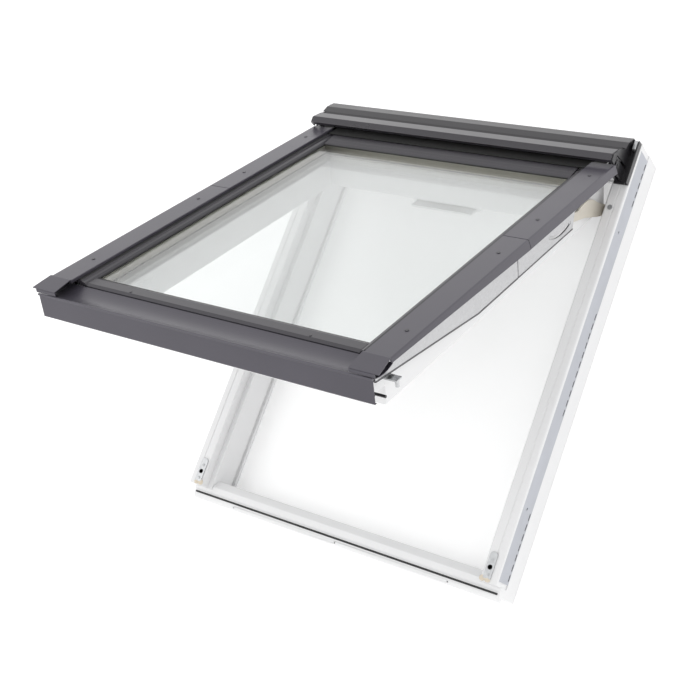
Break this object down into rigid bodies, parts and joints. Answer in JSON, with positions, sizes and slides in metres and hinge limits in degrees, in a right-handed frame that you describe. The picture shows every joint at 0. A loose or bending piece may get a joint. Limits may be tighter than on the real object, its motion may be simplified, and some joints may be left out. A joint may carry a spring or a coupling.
{
  "type": "roof window",
  "caption": "Top-hung roof window with its outer frame: glazed sash on hinged arms standing open, dark sheet covers and hood, plus a centre pivot for cleaning.",
  "frame": {"origin": "centre of the outer frame's footprint, on its back (room side) face", "axes": "+X across the window to the right as seen from outside, +Y up the roof slope towards the hood, +Z out of the roof"},
  "size_m": [0.78, 0.98, 0.7819],
  "materials": {
    "frame_white": "white lacquer over pine, satin",
    "sash_white": "white lacquer over pine, satin",
    "rail_metal": "pale blue-grey coated steel",
    "cover_dark": "dark grey lacquered sheet, satin",
    "hood_dark": "dark grey lacquered sheet, satin",
    "bracket_black": "black, slightly glossy",
    "black_seal": "black rubber",
    "filter_black": "black open foam",
    "hem_grey": "grey rubber",
    "zinc": "zinc plated",
    "steel": "turned steel",
    "arm_metal": "plain anodised",
    "stay_cream": "cream passivated steel",
    "pane_glass": "clear, faint green edge",
    "spacer_beige": "beige",
    "handle_metal": "silver grey",
    "latch_white": "white"
  },
  "bodies": {
    "frame": {"frame_left": "frame_white", "frame_right": "frame_white", "frame_bottom": "frame_white", "frame_top": "frame_white", "fixing_rail_left": "rail_metal", "fixing_rail_right": "rail_metal", "bottom_gasket": "black_seal", "strike_plates": "zinc", "frame_screws": "zinc", "hood_back": "hood_dark", "hood_front": "cover_dark", "hood_ends": "hood_dark", "hood_bracket_left": "bracket_black", "hood_bracket_right": "bracket_black", "vent_filter": "filter_black", "hinge_pins": "steel", "stay_pins": "steel"},
    "arms": {"arm_left": "arm_metal", "arm_right": "arm_metal", "arm_gaskets": "hem_grey", "pivot_tracks": "zinc", "upper_cover_left": "cover_dark", "upper_cover_right": "cover_dark", "upper_cover_screws": "cover_dark"},
    "stays": {"stay_left": "stay_cream", "stay_right": "stay_cream", "slide_pins": "steel"},
    "sash": {"stile_left": "sash_white", "stile_right": "sash_white", "sash_rail_bottom": "sash_white", "sash_rail_top": "sash_white", "outer_pane": "pane_glass", "inner_pane": "pane_glass", "spacer_bar": "spacer_beige", "pane_seal": "black_seal", "bead_left": "cover_dark", "bead_right": "cover_dark", "bead_top": "hood_dark", "bead_bottom": "cover_dark", "lower_cover_left": "cover_dark", "lower_cover_right": "cover_dark", "lower_cover_screws": "cover_dark", "bottom_cover": "cover_dark", "side_rail_left": "arm_metal", "side_rail_right": "arm_metal", "rail_gaskets": "hem_grey", "sash_seal": "black_seal", "pivot_shoes": "zinc", "lock_pins": "steel", "handle_base": "handle_metal", "vent_latch_base": "latch_white"},
    "lever": {"handle_lever": "handle_metal"},
    "latch": {"vent_latch": "latch_white"}
  },
  "joints": [
    {"name": "sash_tilt", "type": "hinge", "parent": "frame", "child": "arms", "pos_m": [0, 0.412, 0.16], "axis": [1, 0, 0], "range_deg": [0, 43]},
    {"name": "stay_turn", "type": "hinge", "parent": "frame", "child": "stays", "pos_m": [0, 0.362, 0.052], "axis": [1, 0, 0], "range_deg": [0, 43]},
    {"name": "sash_pivot", "type": "hinge", "parent": "arms", "child": "sash", "pos_m": [0, 0.12769, 0.44016], "axis": [1, 0, 0], "range_deg": [-165, 0]},
    {"name": "lever_turn", "type": "hinge", "parent": "sash", "child": "lever", "pos_m": [0, -0.25834, 0.6347], "axis": [0, 0.682, 0.7314], "range_deg": [0, 90]},
    {"name": "latch_swing", "type": "hinge", "parent": "sash", "child": "latch", "pos_m": [0, 0.29067, 0.10906], "axis": [1, 0, 0], "range_deg": [0, 35]}
  ],
  "couplings": [
    {"joint": "stay_turn", "follows": "sash_tilt", "ratio": 1}
  ]
}
